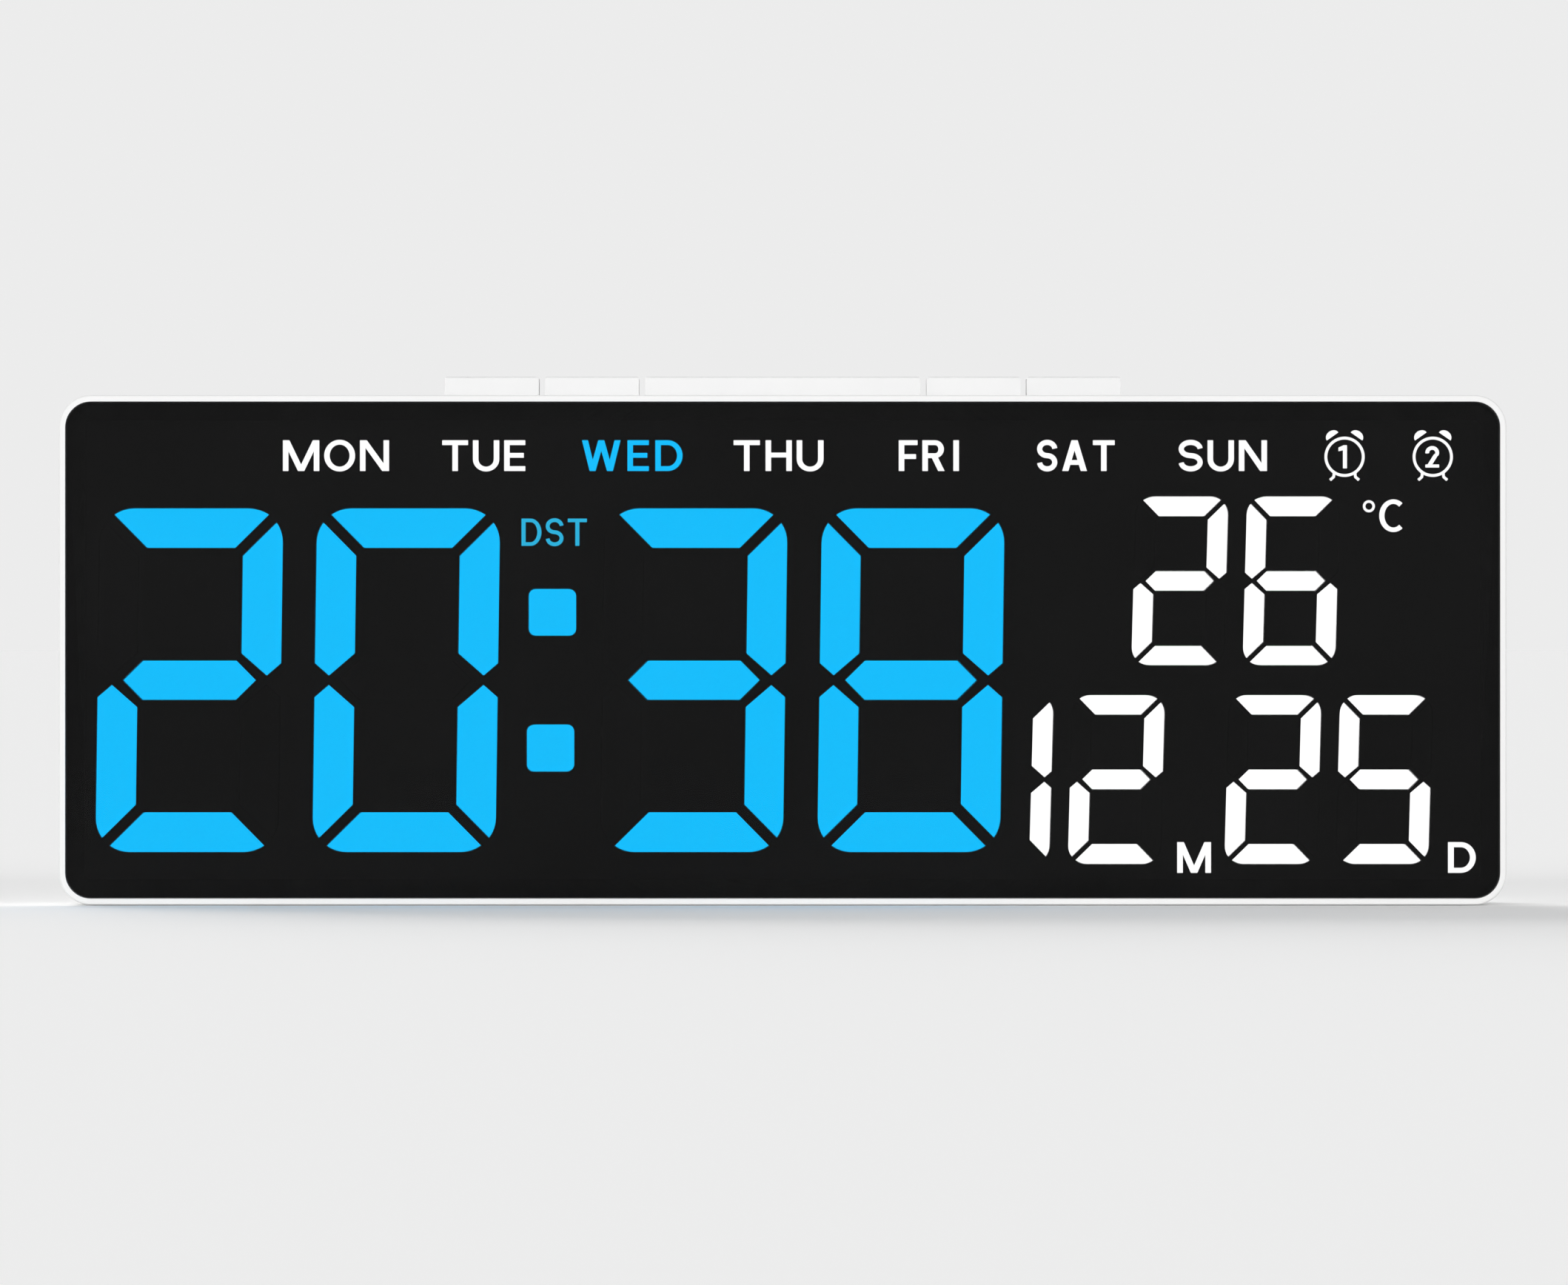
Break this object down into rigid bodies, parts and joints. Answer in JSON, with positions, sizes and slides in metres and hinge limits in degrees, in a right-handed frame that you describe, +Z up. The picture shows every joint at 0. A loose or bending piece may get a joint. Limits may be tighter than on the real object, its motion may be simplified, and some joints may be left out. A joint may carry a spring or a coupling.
{
  "type": "digital alarm clock",
  "caption": "Wide, thin white digital alarm clock with a dark full-face lens, seven-bar digits, top keys, a fold-out stand and wall keyholes.",
  "frame": {"origin": "middle of the base, halfway between the front rim and the rear face", "axes": "+X to the viewer's right, -Y out of the display, +Z up"},
  "size_m": [0.23, 0.028, 0.0842],
  "materials": {
    "housing_white": "moulded white, fine satin",
    "cover_white": "moulded white, fine texture",
    "key_white": "moulded white, satin",
    "smoked_lens": "polished smoked acrylic",
    "black_tape": "foam tape",
    "mask_black": "printed black film",
    "reflector_black": "moulded black",
    "blue_light_bar": "cast light-diffusing resin",
    "white_light_bar": "cast light-diffusing resin",
    "circuit_board": "green solder mask",
    "chip_yellow": "phosphor resin",
    "chip_black": "moulded black",
    "component": "sleeved component",
    "steel": "plated steel",
    "plunger_black": "moulded black",
    "contact_brass": "plated spring brass",
    "lead_red": "insulated lead"
  },
  "bodies": {
    "housing": {"front_frame": "housing_white", "rear_cover": "cover_white", "front_lens": "smoked_lens", "lens_tape": "black_tape", "display_mask": "mask_black", "reflector": "reflector_black", "hour_tens_digit": "blue_light_bar", "hour_units_digit": "blue_light_bar", "colon_dots": "blue_light_bar", "minute_tens_digit": "blue_light_bar", "minute_units_digit": "blue_light_bar", "temperature_digits": "white_light_bar", "month_digits": "white_light_bar", "day_digits": "white_light_bar", "word_light_blocks": "white_light_bar", "display_board": "circuit_board", "key_board": "circuit_board", "power_board": "circuit_board", "led_chips": "chip_yellow", "controller_chip": "chip_black", "driver_chips": "chip_black", "buzzer": "chip_black", "key_header": "chip_black", "usb_tongue": "chip_black", "capacitor": "component", "temperature_sensor": "component", "clock_crystal": "steel", "board_screws": "steel", "key_switches": "steel", "key_board_screws": "steel", "cover_screws": "steel", "usb_socket": "steel", "coin_cell": "steel", "stand_pin": "steel", "cell_contacts": "contact_brass", "power_leads": "lead_red"},
    "mode_key": {"mode_key": "key_white", "mode_plunger": "plunger_black"},
    "alarm_key": {"alarm_key": "key_white", "alarm_plunger": "plunger_black"},
    "snooze_key": {"snooze_key": "key_white", "snooze_plunger": "plunger_black"},
    "minus_key": {"minus_key": "key_white", "minus_plunger": "plunger_black"},
    "plus_key": {"plus_key": "key_white", "plus_plunger": "plunger_black"},
    "coin_door": {"coin_door": "cover_white"},
    "stand_leg": {"stand_leg": "cover_white"}
  },
  "joints": [
    {"name": "mode_press", "type": "slide", "parent": "housing", "child": "mode_key", "axis": [0, 0, -1], "range_m": [0, 0.0005], "stiffness_N_per_m": 300, "springref_m": -0.001},
    {"name": "alarm_press", "type": "slide", "parent": "housing", "child": "alarm_key", "axis": [0, 0, -1], "range_m": [0, 0.0005], "stiffness_N_per_m": 300, "springref_m": -0.001},
    {"name": "snooze_press", "type": "slide", "parent": "housing", "child": "snooze_key", "axis": [0, 0, -1], "range_m": [0, 0.0005], "stiffness_N_per_m": 300, "springref_m": -0.001},
    {"name": "minus_press", "type": "slide", "parent": "housing", "child": "minus_key", "axis": [0, 0, -1], "range_m": [0, 0.0005], "stiffness_N_per_m": 300, "springref_m": -0.001},
    {"name": "plus_press", "type": "slide", "parent": "housing", "child": "plus_key", "axis": [0, 0, -1], "range_m": [0, 0.0005], "stiffness_N_per_m": 300, "springref_m": -0.001},
    {"name": "coin_door_turn", "type": "hinge", "parent": "housing", "child": "coin_door", "pos_m": [-0.06, 0.0133, 0.034], "axis": [0, 1, 0], "range_deg": [0, 50]},
    {"name": "stand_fold", "type": "hinge", "parent": "housing", "child": "stand_leg", "pos_m": [0, 0.0125, 0.06], "axis": [1, 0, 0], "range_deg": [0, 35]}
  ]
}
